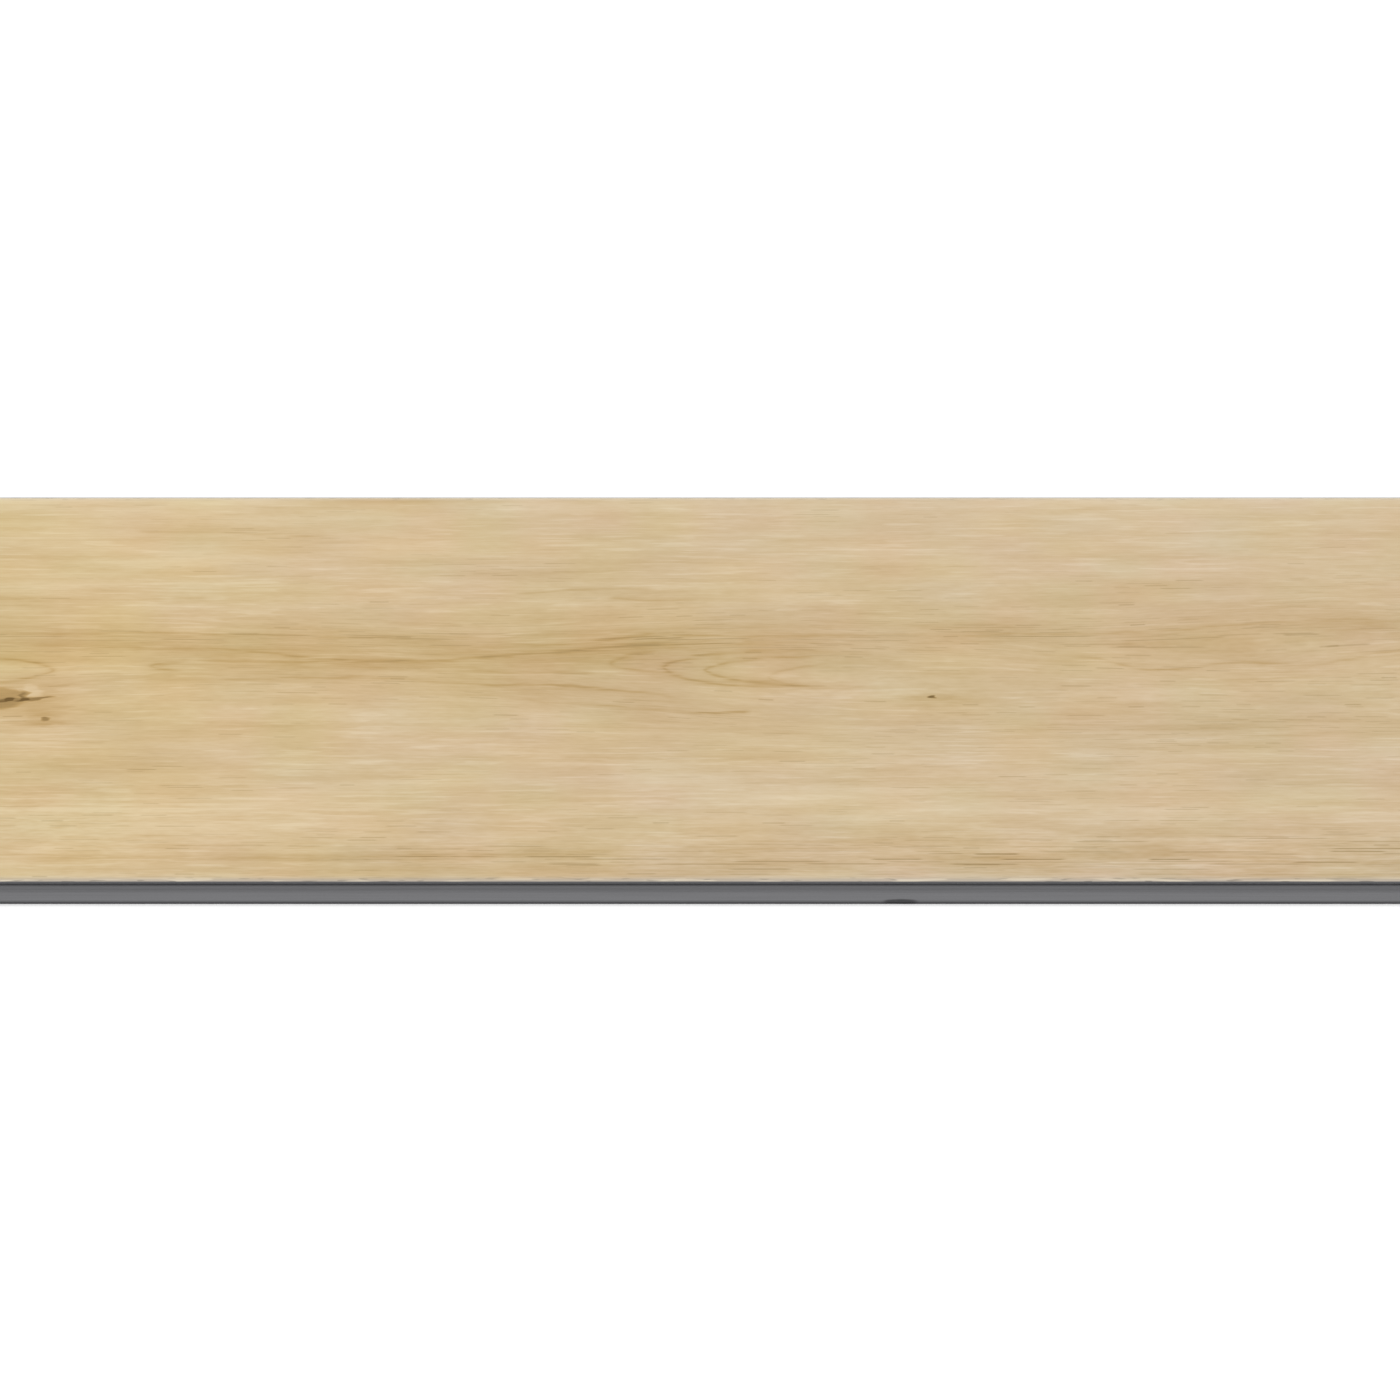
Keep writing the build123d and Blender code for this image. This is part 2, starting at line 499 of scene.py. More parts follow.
def grid_faces(shape):
    """Quads of the grid wound to face up, the corner cells left out, and the rim as one face below.

    At each corner the three grid points of the vertical edge's foot are one vertex. The quads' places on
    the unrolled sheet are their column and row as shares of the grid.
    """
    number = np.arange(shape[0] * shape[1]).reshape(shape)
    columns = np.linspace(0, 1, shape[0])
    rows = np.linspace(0, 1, shape[1])
    share = np.stack(np.meshgrid(columns, rows, indexing="ij"), axis=-1)
    unrolled = np.stack(cell_corners(share), axis=2)
    for end_x, next_x in ((0, 1), (-1, -2)):
        for end_y, next_y in ((0, 1), (-1, -2)):
            number[end_x, end_y] = number[end_x, next_y]
            number[next_x, end_y] = number[end_x, next_y]
    quads = np.stack(cell_corners(number), axis=-1)
    keep = np.ones(quads.shape[:2], bool)
    keep[[0, 0, -1, -1], [0, -1, 0, -1]] = False
    sides = number[0, 1:-1], number[1:-1, -1], number[-1, -2:0:-1], number[-2:0:-1, 0]
    rim = np.concatenate(sides)
    rim = rim[np.concatenate([[True], np.diff(rim) != 0])]
    return quads[keep], unrolled[keep], rim


def add_bake_map(mesh, unrolled, rim_places):
    """Sheet for baking: the unrolled face above, the flat underside in a strip below it."""
    width = 1 - 2 * SHEET_MARGIN
    face_sheet = unrolled.reshape(-1, 2) * (width, 1 - SHEET_MARGIN - FACE_FOOT) + (SHEET_MARGIN, FACE_FOOT)
    low = rim_places.min(axis=0)
    span = rim_places.max(axis=0) - low
    under_sheet = (rim_places - low) / span * (width, STRIP_TOP - SHEET_MARGIN) + SHEET_MARGIN
    layer = mesh.uv_layers.new(name="OFBake")
    layer.uv.foreach_set("vector", np.concatenate([face_sheet, under_sheet]).astype(np.float32).ravel())


def add_attribute(mesh, name, values):
    """Stores a number or a vector for each point of the mesh."""
    kind, field = ("FLOAT_VECTOR", "vector") if values.ndim == 2 else ("FLOAT", "value")
    layer = mesh.attributes.new(name, kind, "POINT")
    layer.data.foreach_set(field, np.ascontiguousarray(values, dtype=np.float32).ravel())


def printed_face_mesh(face, grain):
    """Mesh of the printed layer with the fields that its material reads."""
    x, y, z = face_grid(face.columns, face.rows)
    x_mm, y_mm = x / MM, y / MM
    z = z - face.emboss_depth * emboss(x_mm, y_mm)
    level = np.zeros_like(x)
    fields = {
        "fibre_place": np.stack([x, fibre_across(x_mm, y_mm) * MM, level], axis=-1),
        "print_tint": print_tint(x_mm, y_mm),
        "dash_density": dash_density(x_mm, y_mm),
        "tone": face_tone(x_mm, y_mm, grain.cloud),
        "fibre_contrast": fibre_contrast(x_mm, y_mm),
        "bevel_paint": np.maximum.outer(line_paint(face.columns), line_paint(face.rows)),
    }
    for number, line in enumerate(GRAIN_LINES):
        distance, darkness = line_field(line, x_mm, y_mm)
        fields[f"grain_line_{number}"] = np.stack([distance / LINE_WIDTH, darkness, level], axis=-1)
    quads, unrolled, rim = grid_faces(x.shape)
    used, quad_numbers = np.unique(quads, return_inverse=True)
    quad_numbers = quad_numbers.reshape(-1, 4)
    rim_numbers = np.searchsorted(used, rim)
    places = np.stack([x, y, z], axis=-1).reshape(-1, 3)[used]
    mesh = bpy.data.meshes.new("printed_face")
    mesh.from_pydata(places, [], quad_numbers.tolist() + [rim_numbers.tolist()])
    for name, values in fields.items():
        add_attribute(mesh, name, values.reshape(x.size, *values.shape[2:])[used])
    add_bake_map(mesh, unrolled, places[rim_numbers, :2])
    mesh.validate()
    mesh.update()
    return mesh


class Graph:
    """Short ways to add and link shader nodes of one material."""

    def __init__(self, material):
        material.use_nodes = True
        self.tree = material.node_tree
        self.tree.nodes.clear()

    def add(self, kind, inputs=None, **options):
        node = self.tree.nodes.new(kind)
        for name, value in options.items():
            setattr(node, name, value)
        for key, value in (inputs or {}).items():
            self.feed(node.inputs[key], value)
        return node

    def feed(self, socket, value):
        if isinstance(value, bpy.types.NodeSocket):
            self.tree.links.new(value, socket)
        else:
            socket.default_value = value

    def math(self, operation, *values):
        node = self.add("ShaderNodeMath", operation=operation)
        for socket, value in zip(node.inputs, values):
            self.feed(socket, value)
        return node.outputs[0]

    def total(self, *values):
        result = values[0]
        for value in values[1:]:
            result = self.math("ADD", result, value)
        return result

    def vector(self, operation, *values):
        node = self.add("ShaderNodeVectorMath", operation=operation)
        for socket, value in zip(node.inputs, values):
            self.feed(socket, value)
        return node.outputs["Vector"]

    def parts(self, vector):
        """The x, y and z of a vector."""
        return self.add("ShaderNodeSeparateXYZ", {"Vector": vector}).outputs[:]

    def attribute(self, name, output="Fac"):
        return self.add("ShaderNodeAttribute", attribute_name=name).outputs[output]

    def object_place(self):
        return self.add("ShaderNodeTexCoord").outputs["Object"]

    def noise(self, place, cell, detail=0.0, output="Fac"):
        """Noise from 0 to 1 with cells of the given size in millimetres along x, y and z."""
        scaled = self.vector("DIVIDE", place, [size * MM for size in cell])
        node = self.add("ShaderNodeTexNoise", {"Vector": scaled, "Scale": 1.0, "Detail": detail})
        return node.outputs[output]

    def noise_shift(self, place, cell, reach):
        """Vector of noise about zero, times its reach along and across."""
        colour = self.noise(place, cell, 1.0, "Color")
        return self.vector("MULTIPLY", self.vector("SUBTRACT", colour, (0.5, 0.5, 0.5)), (*reach, 0.0))

    def centred(self, noise, gain):
        """Noise moved to a mean of zero, times a gain."""
        return self.math("MULTIPLY", self.math("SUBTRACT", noise, 0.5), gain)

    def remap(self, value, low, high, low_to=0.0, high_to=1.0, smooth=True):
        """Value from low to high as a value from low_to to high_to, held beyond them."""
        kind = "SMOOTHSTEP" if smooth else "LINEAR"
        ends = {"From Min": low, "From Max": high, "To Min": low_to, "To Max": high_to}
        node = self.add("ShaderNodeMapRange", {"Value": value, **ends}, interpolation_type=kind)
        return node.outputs["Result"]

    def ramp(self, value, stops):
        node = self.add("ShaderNodeValToRGB", {"Fac": value})
        points = node.color_ramp.elements
        while len(points) < len(stops):
            points.new(0.5)
        for point, (position, colour) in zip(points, stops):
            point.position = position
            point.color = (*colour, 1.0)
        return node.outputs["Color"]

    def mix(self, amount, first, second):
        node = self.add("ShaderNodeMix", data_type="RGBA")
        sockets = [socket for socket in node.inputs if socket.enabled]
        for socket, value in zip(sockets, (amount, first, second)):
            self.feed(socket, value)
        return next(socket for socket in node.outputs if socket.enabled)

    def spot(self, x, y, centre, radii, tilt, soft):
        """1 inside an ellipse, fading to 0 over the soft share of its radius.

        Centre and radii are in millimetres, and the tilt is its rise across for each unit along.
        """
        along = self.math("MULTIPLY_ADD", x, 1 / radii[0] / MM, -centre[0] / radii[0])
        level = self.math("MULTIPLY_ADD", y, 1 / radii[1] / MM, (tilt * centre[0] - centre[1]) / radii[1])
        across = self.math("MULTIPLY_ADD", x, -tilt / radii[1] / MM, level)
        square = self.math("MULTIPLY_ADD", along, along, self.math("MULTIPLY", across, across))
        return self.remap(square, (1 + soft) ** 2, (1 - soft) ** 2)

    def finish(self, **inputs):
        """Principled surface with the given sockets, sent to the output."""
        named = {key.replace("_", " "): value for key, value in inputs.items()}
        surface = self.add("ShaderNodeBsdfPrincipled", named)
        output = self.add("ShaderNodeOutputMaterial")
        self.tree.links.new(surface.outputs["BSDF"], output.inputs["Surface"])


# Spots of the print: centre, radii in millimetres, tilt, softness and tone in grey levels
KNOT_SPOTS = (
    ((-258, -9.1), (10.5, 5.2), 0.0, 0.18, -34),
    ((-258, -11.8), (9.0, 2.2), 0.0, 0.6, -9),
    ((-256, -10.1), (6.0, 0.7), 0.1, 0.5, -42),
    ((-253, -9.6), (1.7, 0.7), 0.2, 0.5, -28),
    ((-250.3, -9.2), (1.7, 0.9), 0.0, 0.5, 14),
    ((-248, -7.8), (1.7, 2.4), -0.6, 0.5, -40),
    ((-245.6, -5.4), (3.8, 2.6), -0.2, 0.4, 17),
    ((-244.0, -9.4), (5.6, 0.65), 0.16, 0.6, -60),
    ((-239, -12.5), (6.0, 3.4), 0.0, 0.8, -9),
    ((-238.7, -18.6), (1.9, 0.8), 0.05, 0.6, -58),
    ((-239, -19.2), (4.5, 2.2), 0.0, 0.9, -9),
    ((-241.5, -20.6), (9.5, 0.9), 0.02, 0.8, -11),
    ((85.2, -8.5), (1.4, 0.7), -0.05, 0.5, -76),
    ((84.6, -8.5), (7.5, 1.3), 0.0, 0.9, -12),
    ((452, 31), (2.4, 1.1), 0.1, 0.5, -55),
    ((452, 31), (9.0, 2.4), 0.0, 0.9, -10),
    ((-468, -38), (1.6, 0.9), 0.0, 0.5, -60),
    ((-468, -38), (7.0, 1.8), 0.0, 0.9, -10),
)
# Cells of the print's noise in millimetres. The print is flat, so they are tall.
TALL = 1000.0
FINE_CELL = (4.5, 0.65, TALL)
FLECK_CELL = (22, 1.2, TALL)
BEND_CELL = (12, 3, TALL)
BREAK_CELL = (18, 1.2, TALL)
RAGGED_CELL = (6, 1.8, TALL)
CHIP_CELL = (16, 0.9, 0.9)
SPECK_CELL = (5, 0.6, 0.6)
# Fibres: share of the contrast that the fine ones have, then cell and share of the coarser ones
FINE_SHARE = 1.5
FIBRE_LAYERS = (
    ((30, 0.8, TALL), 1.3),
    ((13, 2.4, TALL), 1.4),
    ((120, 2.9, TALL), 1.9),
    ((45, 7.0, TALL), 2.6),
)
LINE_SHIFT = (3.0, 1.6)  # millimetres that the noise moves a drawn line over, along and across
LINE_BREAKS = (0.35, 0.62, 0.25, 1.25)  # noise, low and high, and the share of a line that it leaves
KNOT_SHIFT = (6 * MM, 1.8 * MM)  # by which the noise makes a knot's edge ragged
FLECK_BAR = 0.75  # noise where flecks start if none stand thickly
FLECK_DROP = 0.25  # by which that sinks where they do
FLECK_RISE = 0.1  # from there to a full fleck
# Dashes: cell's length, rows' spacing in millimetres, rarity of dark ones
PORE_DASHES = (20.0, 1.2, 2.5)
VEIN_DASHES = (48.0, 1.1, 1.0)
DASH_WIDTH = 0.32  # millimetres, half the width where a dash starts to show
# Shares of a dash: the least, and what its lot adds
HALF_LENGTH = (0.15, 0.33)
MIDDLE = (0.3, 0.4)
THICKNESS = (1.25, -0.6)
END_FADE = 0.7  # share of the half length that is full
SIDE_FADE = 0.3  # share of the half width that is full
LEVEL_SHARE = 0.012  # share of the light that one grey level makes near the middle wood
DASH_TINT = (0.88, 1.0, 1.31)  # how much of red, green and blue a dash takes
# Grey levels at the ends of the colour ramp and at the dark wood
SHADE_LOW, SHADE_HIGH = -103.0, 20.0
SHADE_DARK = -31.0
# Bevel: noise where chips and specks start and are full, and distances from the face's ends and from the
# far side, whose paint gets painted light
CHIP_RANGE = (0.56, 0.68)
SPECK_RANGE = (0.64, 0.72)
SPECK_DARK = 0.4
CHIP_STOP = (4 * MM, 8 * MM)
FAR_PAINTED_LIGHT = 0.8  # share of the chip colour in the far side's paint: painted light on the far bevel
FAR_LIGHT_EDGE = (4 * MM, 3 * MM)


def shade_stop(shade):
    """Place of a grey level on the colour ramp."""
    return (shade - SHADE_LOW) / (SHADE_HIGH - SHADE_LOW)


def grain_line(graph, number, wobble):
    """One drawn grain line, bent by the wobble: darkness / (1 + distance in line widths squared)."""
    across, darkness, _ = graph.parts(graph.attribute(f"grain_line_{number}", "Vector"))
    distance = graph.math("ADD", across, wobble)
    return graph.math("DIVIDE", darkness, graph.math("MULTIPLY_ADD", distance, distance, 1.0))


def grain_arch(graph, place_mm, tip_x, tip_y, spread, tilt, reach, darkness):
    """One arch, fading out along its reach: run = (across / spread) to the arch's power from its tip.

    The run grows with the length along and levels off at the arch's bend, as 1 less an exponential does.
    Distance to the arch is its equation's value over the length of that value's slope, and the arch
    darkens with that distance as a grain line does.
    """
    side = math.copysign(1.0, reach)
    apart = graph.vector("MULTIPLY_ADD", place_mm, (side, 1.0, 0.0), (-side * tip_x, -tip_y, 0.0))
    along, level, _ = graph.parts(apart)
    across = graph.math("MULTIPLY_ADD", along, -tilt, level)
    share = graph.math("ABSOLUTE", graph.math("DIVIDE", across, spread))
    left = graph.math("EXPONENT", graph.math("DIVIDE", along, -ARCH_BEND))
    run = graph.math("MULTIPLY_ADD", left, -ARCH_BEND, ARCH_BEND)
    value = graph.math("SUBTRACT", run, graph.math("POWER", share, ARCH_POWER))
    slope_square = (ARCH_POWER * LINE_WIDTH / spread) ** 2
    steep_square = graph.math("MULTIPLY_ADD", share, slope_square, LINE_WIDTH**2)
    line = graph.math("DIVIDE", steep_square, graph.math("MULTIPLY_ADD", value, value, steep_square))
    fade = graph.remap(along, abs(reach), abs(reach) * ARCH_FULL, 0.0, darkness)
    return graph.math("MULTIPLY", line, fade)


def figure_lines(graph, place):
    """All grain lines and arches together, bent and broken up by stretched noise."""
    place_mm = graph.vector("DIVIDE", place, (MM, MM, MM))
    shift = graph.noise_shift(place, BEND_CELL, LINE_SHIFT)
    wobble = graph.math("DIVIDE", graph.parts(shift)[1], LINE_WIDTH)
    bent_mm = graph.vector("ADD", place_mm, shift)
    lines = [grain_line(graph, number, wobble) for number in range(len(GRAIN_LINES))]
    lines += [grain_arch(graph, bent_mm, *arch) for arch in ARCHES]
    broken = graph.remap(graph.noise(place, BREAK_CELL, 1.0), *LINE_BREAKS, smooth=False)
    return graph.math("MULTIPLY", graph.total(*lines), broken)


def dashes(graph, place, density, length, spacing, rarity):
    """Thin dashes of even width: rows across are cut into cells, and the density is a cell's chance of one.

    Each row's cells start at their own place, and each dash has its own place across the row, its own
    length and its own darkness, an even lot to the power of the dark ones' rarity, fainter where few
    stand. Longer ones are thinner. The cell's length and the rows' spacing are in millimetres.
    """
    cells = graph.vector("DIVIDE", place, (length * MM, spacing * MM, 1.0))
    cell_x, cell_y, _ = graph.parts(cells)
    row = graph.math("FLOOR", cell_y)
    start = graph.add("ShaderNodeTexWhiteNoise", {"W": row}, noise_dimensions="1D").outputs["Value"]
    along = graph.math("ADD", cell_x, start)
    key = graph.add("ShaderNodeCombineXYZ", {"X": graph.math("FLOOR", along), "Y": row}).outputs["Vector"]
    luck = graph.add("ShaderNodeTexWhiteNoise", {"Vector": key}, noise_dimensions="2D")
    _, place_lot, length_lot = graph.parts(luck.outputs["Color"])
    half_length = graph.math("MULTIPLY_ADD", length_lot, HALF_LENGTH[1], HALF_LENGTH[0])
    middle = graph.math("MULTIPLY_ADD", place_lot, MIDDLE[1], MIDDLE[0])
    thin, thick = (share * DASH_WIDTH / spacing for share in (THICKNESS[1], THICKNESS[0]))
    half_width = graph.math("MULTIPLY_ADD", length_lot, thin, thick)
    from_middle = graph.math("ABSOLUTE", graph.math("SUBTRACT", graph.math("FRACT", along), 0.5))
    off_line = graph.math("ABSOLUTE", graph.math("SUBTRACT", graph.math("FRACT", cell_y), middle))
    ends = graph.remap(from_middle, half_length, graph.math("MULTIPLY", half_length, END_FADE))
    sides = graph.remap(off_line, half_width, graph.math("MULTIPLY", half_width, SIDE_FADE))
    dark = graph.remap(luck.outputs["Value"], density, 0.0, smooth=False)
    strength = graph.math("MULTIPLY", graph.math("POWER", dark, rarity), density)
    return graph.math("MULTIPLY", graph.math("MULTIPLY", ends, sides), strength)


def fibre_shade(graph, place, fine, contrast):
    """Fibres in grey levels: the fine ones and the coarser layers, times the face's own gain."""
    layers = [graph.centred(fine, FINE_SHARE * contrast)]
    for cell, share in FIBRE_LAYERS:
        layers.append(graph.centred(graph.noise(place, cell), contrast * share))
    return graph.math("MULTIPLY", graph.total(*layers), graph.attribute("fibre_contrast"))


def fleck_shade(graph, place, density, height):
    """Pale flecks in grey levels: peaks of a stretched noise above a bar that sinks with the density."""
    bar = graph.math("MULTIPLY_ADD", density, -FLECK_DROP, FLECK_BAR)
    flecks = graph.remap(graph.noise(place, FLECK_CELL), bar, graph.math("ADD", bar, FLECK_RISE))
    return graph.math("MULTIPLY", flecks, height)


def dash_light(graph, place, pore_density, vein_density, grain):
    """Share of the light that pores and veins leave, less of blue than of red."""
    pores = dashes(graph, place, pore_density, *PORE_DASHES)
    veins = dashes(graph, place, vein_density, *VEIN_DASHES)
    levels = graph.math("MULTIPLY_ADD", pores, grain.pore, graph.math("MULTIPLY", veins, grain.vein))
    shares = [-LEVEL_SHARE * part for part in DASH_TINT]
    return graph.vector("MULTIPLY_ADD", levels, shares, (1.0, 1.0, 1.0))


def wood_ramp(graph, shade, face):
    """Colour of a grey level: from slits over dark and middle to pale wood."""
    stops = (
        (0.0, tuple(face.darkest)),
        (shade_stop(SHADE_DARK), tuple(face.dark)),
        (shade_stop(0.0), tuple(face.middle)),
        (1.0, tuple(face.pale)),
    )
    return graph.ramp(graph.remap(shade, SHADE_LOW, SHADE_HIGH, smooth=False), stops)


def bevel_finish(graph, wood, place, x, y, face):
    """Wood with the bevel's grey paint, which has pale chips and dark specks on the long sides, and painted
    light on the far side.
    """
    near_end, clear = CHIP_STOP
    long_side = graph.remap(graph.math("ABSOLUTE", x), FACE_HIGH.x - near_end, FACE_HIGH.x - clear)
    chips = graph.remap(graph.noise(place, CHIP_CELL), *CHIP_RANGE, 0.0, long_side)
    # Painted light: the far bevel's paint is mixed towards the pale chip colour.
    before_far, at_far = FAR_LIGHT_EDGE
    far_side_light = graph.remap(y, FACE_HIGH.y - before_far, FACE_HIGH.y - at_far, 0.0, FAR_PAINTED_LIGHT)
    pale = graph.math("MAXIMUM", chips, far_side_light)
    paint = graph.mix(pale, (*face.bevel_paint, 1.0), (*face.bevel_chip_and_light, 1.0))
    painted = graph.attribute("bevel_paint")
    colour = graph.mix(painted, wood, paint)
    specks = graph.remap(graph.noise(place, SPECK_CELL), *SPECK_RANGE, 0.0, long_side)
    speck_light = graph.math("MULTIPLY_ADD", graph.math("MULTIPLY", specks, painted), -SPECK_DARK, 1.0)
    return graph.vector("MULTIPLY", colour, speck_light)


def oak_print_material(face, grain):
    """Oak print under a satin wear layer: tone, fibres, flecks, lines and knots on one colour ramp.

    Pores and veins darken the ramp's colour, and the bevel's paint covers it.
    """
    material = bpy.data.materials.new("oak_print")
    graph = Graph(material)
    place = graph.attribute("fibre_place", "Vector")
    flat_place = graph.object_place()
    pore_density, vein_density, fleck_density = graph.parts(graph.attribute("dash_density", "Vector"))
    fine = graph.noise(place, FINE_CELL)
    shade = graph.total(
        graph.attribute("tone"),
        fibre_shade(graph, place, fine, grain.fibre),
        fleck_shade(graph, place, fleck_density, grain.fleck),
        graph.math("MULTIPLY", figure_lines(graph, flat_place), -grain.line),
    )
    ragged = graph.vector("ADD", flat_place, graph.noise_shift(flat_place, RAGGED_CELL, KNOT_SHIFT))
    ragged_x, ragged_y, _ = graph.parts(ragged)
    for *shape, tone in KNOT_SPOTS:
        shade = graph.math("MULTIPLY_ADD", graph.spot(ragged_x, ragged_y, *shape), tone, shade)
    wood = wood_ramp(graph, shade, face)
    wood = graph.vector("MULTIPLY", wood, graph.attribute("print_tint", "Vector"))
    wood = graph.vector("MULTIPLY", wood, dash_light(graph, place, pore_density, vein_density, grain))
    bump = graph.add("ShaderNodeBump", {"Height": fine, "Distance": face.pore_depth, "Strength": 1.0})
    graph.finish(
        Base_Color=bevel_finish(graph, wood, flat_place, ragged_x, ragged_y, face),
        Roughness=graph.remap(fine, 0.3, 0.7, 0.5, 0.62, smooth=False),
        Specular_IOR_Level=0.25,
        Normal=bump.outputs["Normal"],
    )
    return material


# Finish of the core: noise cells in millimetres, and shares and places of its painted light and shade
SPECKLE_CELL = (0.7, 0.7, 0.7)
SPECKLE_SHARE = 0.12
MILLING_CELL = (50, 0.5, 0.5)
MILLING_SHARE = 0.25
MILLING_DEPTH = 0.02 * MM
LIP_UNLIFTED = 0.8 * LIP_REACH  # outer part of the lips that the groove's painted light leaves out, darker than the groove
UNDERSIDE_FADE = 0.3 * MM  # the groove's painted light starts at the underside and is full this far up
# Where the lip's dent and its painted shade lie
DENT_PLACE = (70.0, CORE_LOW.y / MM)
DENT_RADII = (5.3, 0.8)
DENT_SOFT = 0.3
LIP_END_SHADE_HEIGHT = (1.5 * MM, 1.0 * MM)  # the lip end's painted shade fades in between these, going down
LIP_END_SHADE_INSET = (0.3 * MM, 0.05 * MM)  # and between these, going out to the lip's end


def core_material(core):
    """Milled core: fine stone speckle, faint cutter lines along the lip, painted light that makes the
    groove paler and painted shade that darkens the lip end.

    The dent in the lip gets painted shade.
    """
    material = bpy.data.materials.new("milled_core")
    graph = Graph(material)
    place = graph.object_place()
    speckle = graph.noise(place, SPECKLE_CELL, 2.0)
    milling = graph.noise(place, MILLING_CELL, 2.0)
    x, y, z = graph.parts(place)
    # Painted light: paler in the groove and all over the core off the lower lips and the underside, against
    # the groove's shade.
    off_side_lip = graph.remap(y, CORE_LOW.y + LIP_UNLIFTED, CORE_LOW.y + LIP_REACH)
    off_end_lip = graph.remap(x, CORE_HIGH.x - LIP_UNLIFTED, CORE_HIGH.x - LIP_REACH)
    off_underside = graph.remap(z, 0.0, UNDERSIDE_FADE)
    groove = graph.math("MULTIPLY", graph.math("MULTIPLY", off_side_lip, off_end_lip), off_underside)
    # Painted shade in the dent of the lip.
    dent = graph.spot(x, y, DENT_PLACE, DENT_RADII, 0.0, DENT_SOFT)
    light = graph.total(
        1.0,
        graph.centred(speckle, SPECKLE_SHARE),
        graph.centred(milling, MILLING_SHARE),
        graph.math("MULTIPLY", groove, core.groove_painted_light),
        graph.math("MULTIPLY", dent, -core.dent_painted_shade),
    )
    # Painted shade: the lip's end face is darker low down at its outer side.
    below = graph.remap(z, *LIP_END_SHADE_HEIGHT)
    outside = graph.remap(y, *(CORE_LOW.y + inset for inset in LIP_END_SHADE_INSET))
    colour = graph.mix(graph.math("MULTIPLY", below, outside), (*core.grey, 1.0), (*core.lip_end_shade, 1.0))
    bump = graph.add("ShaderNodeBump", {"Height": milling, "Distance": MILLING_DEPTH})
    graph.finish(
        Base_Color=graph.vector("MULTIPLY", colour, light),
        Roughness=0.6,
        Specular_IOR_Level=0.2,
        Normal=bump.outputs["Normal"],
    )
    return material


# Studio, in metres
FLOOR_SIZE = 30.0
FLOOR_DROP = 0.05 * MM  # clear of the underside
FLOOR_GLOW = 0.25
SOFTBOX_SIZE = (3.0, 2.0)
SOFTBOX_PLACE = (0.0, 0.3, 2.0)
WHITE = (1.0, 1.0, 1.0, 1.0)


def floor_mesh(size, height):
    """Flat grid of one cell about the origin at the given height."""
    across = np.array([-size, size]) / 2
    x, y = np.meshgrid(across, across, indexing="ij")
    places = np.stack([x, y, np.full_like(x, height)], axis=-1).reshape(-1, 3)
    mesh = bpy.data.meshes.new("studio_floor")
    mesh.from_pydata(places, [], [(0, 2, 3, 1)])
    mesh.update()
    return mesh


def floor_material(colour):
    """Plain pale floor that glows a little, so that it reads as white paper."""
    material = bpy.data.materials.new("pale_floor")
    graph = Graph(material)
    graph.finish(
        Base_Color=(*colour, 1.0),
        Roughness=0.8,
        Specular_IOR_Level=0.0,
        Emission_Color=WHITE,
        Emission_Strength=FLOOR_GLOW,
    )
    return material


def add_object(name, data):
    thing = bpy.data.objects.new(name, data)
    bpy.context.scene.collection.objects.link(thing)
    return thing


def add_camera(stage):
    """Looks along +Y and down at the stage's elevation."""
    aim = Vector((0, -stage.aim_offset, FACE_HIGH.z / 2))
    forward = Vector((0, math.cos(stage.elevation), -math.sin(stage.elevation)))
    data = bpy.data.cameras.new("studio_camera")
    data.lens_unit = "FOV"
    data.angle = stage.field_of_view
    camera = add_object("studio_camera", data)
    camera.location = aim - forward * stage.distance
    camera.rotation_euler = forward.to_track_quat("-Z", "Y").to_euler()
    bpy.context.scene.camera = camera


def add_lights(stage):
    """Even sky and one wide overhead softbox."""
    world = bpy.data.worlds.new("studio_world")
    world.use_nodes = True
    background = world.node_tree.nodes["Background"]
    background.inputs["Color"].default_value = WHITE
    background.inputs["Strength"].default_value = stage.sky
    bpy.context.scene.world = world
    light = bpy.data.lights.new("overhead_softbox", "AREA")
    light.shape = "RECTANGLE"
    light.size, light.size_y = SOFTBOX_SIZE
    light.energy = stage.softbox
    softbox = add_object("overhead_softbox", light)
    softbox.location = SOFTBOX_PLACE


class PLANK_OT_print_face(bpy.types.Operator):
    """Makes the embossed oak-print layer in place of the plain one"""

    bl_idname = "plank.print_face"
    bl_label = "Print Face"

    def execute(self, context):
        settings = context.scene.plank_face
        grain = context.scene.plank_grain
        face = add_object("printed_face", printed_face_mesh(settings, grain))
        face.data.materials.append(oak_print_material(settings, grain))
        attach(face, "root")
        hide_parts(FACE_NODE)
        return {"FINISHED"}


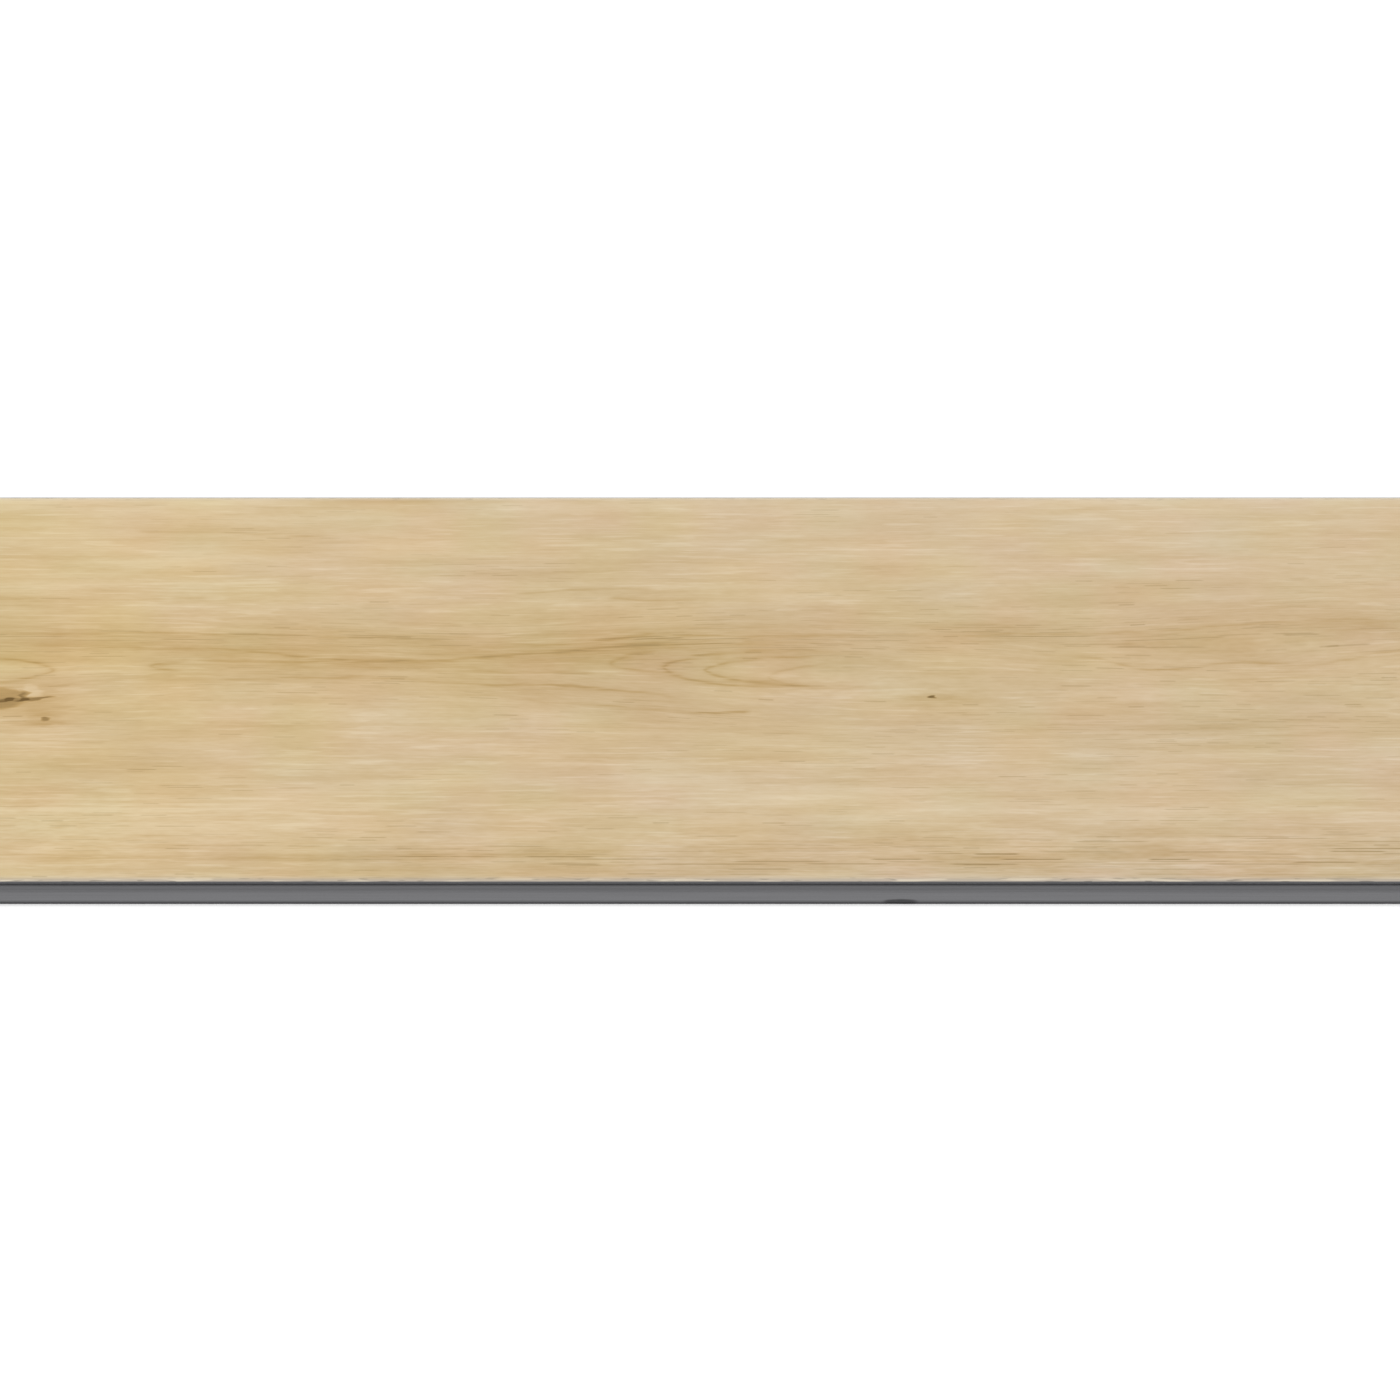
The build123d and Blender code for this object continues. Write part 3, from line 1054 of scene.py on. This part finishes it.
class PLANK_OT_finish_core(bpy.types.Operator):
    """Gives the rigid core its milled grey finish"""

    bl_idname = "plank.finish_core"
    bl_label = "Finish Core"

    def execute(self, context):
        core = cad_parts[CORE_NODE]
        core.data.materials.clear()
        core.data.materials.append(core_material(context.scene.plank_core))
        return {"FINISHED"}


class PLANK_OT_set_stage(bpy.types.Operator):
    """Sets the floor, the light and the camera"""

    bl_idname = "plank.set_stage"
    bl_label = "Set Stage"

    def execute(self, context):
        stage = context.scene.plank_stage
        floor = add_object("studio_floor", floor_mesh(FLOOR_SIZE, CORE_LOW.z - FLOOR_DROP))
        floor.data.materials.append(floor_material(stage.floor_colour))
        floor.visible_diffuse = False
        add_lights(stage)
        add_camera(stage)
        context.scene.view_settings.view_transform = "Standard"
        return {"FINISHED"}


class PLANK_PT_finish(bpy.types.Panel):
    """Lists the plank's settings and steps"""

    bl_label = "Plank Finish"
    bl_idname = "PLANK_PT_finish"
    bl_space_type = "VIEW_3D"
    bl_region_type = "UI"
    bl_category = "Plank"

    def draw(self, context):
        for group, step in STEPS:
            box = self.layout.box()
            for name in group.__annotations__:
                box.prop(getattr(context.scene, SETTINGS[group]), name)
            box.operator(step.bl_idname)


SETTINGS = {
    PrintedFaceSettings: "plank_face",
    OakGrainSettings: "plank_grain",
    CoreSettings: "plank_core",
    StageSettings: "plank_stage",
}
STEPS = (
    (PrintedFaceSettings, PLANK_OT_print_face),
    (OakGrainSettings, PLANK_OT_print_face),
    (CoreSettings, PLANK_OT_finish_core),
    (StageSettings, PLANK_OT_set_stage),
)
CLASSES = (*SETTINGS, PLANK_OT_print_face, PLANK_OT_finish_core, PLANK_OT_set_stage, PLANK_PT_finish)


def register():
    for kind in CLASSES:
        bpy.utils.register_class(kind)
    for group, name in SETTINGS.items():
        setattr(bpy.types.Scene, name, bpy.props.PointerProperty(type=group))


def unregister():
    for name in SETTINGS.values():
        delattr(bpy.types.Scene, name)
    for kind in reversed(CLASSES):
        bpy.utils.unregister_class(kind)


def main():
    register()
    bpy.ops.plank.print_face()
    bpy.ops.plank.finish_core()
    bpy.ops.plank.set_stage()


if __name__ == "__main__":
    main()
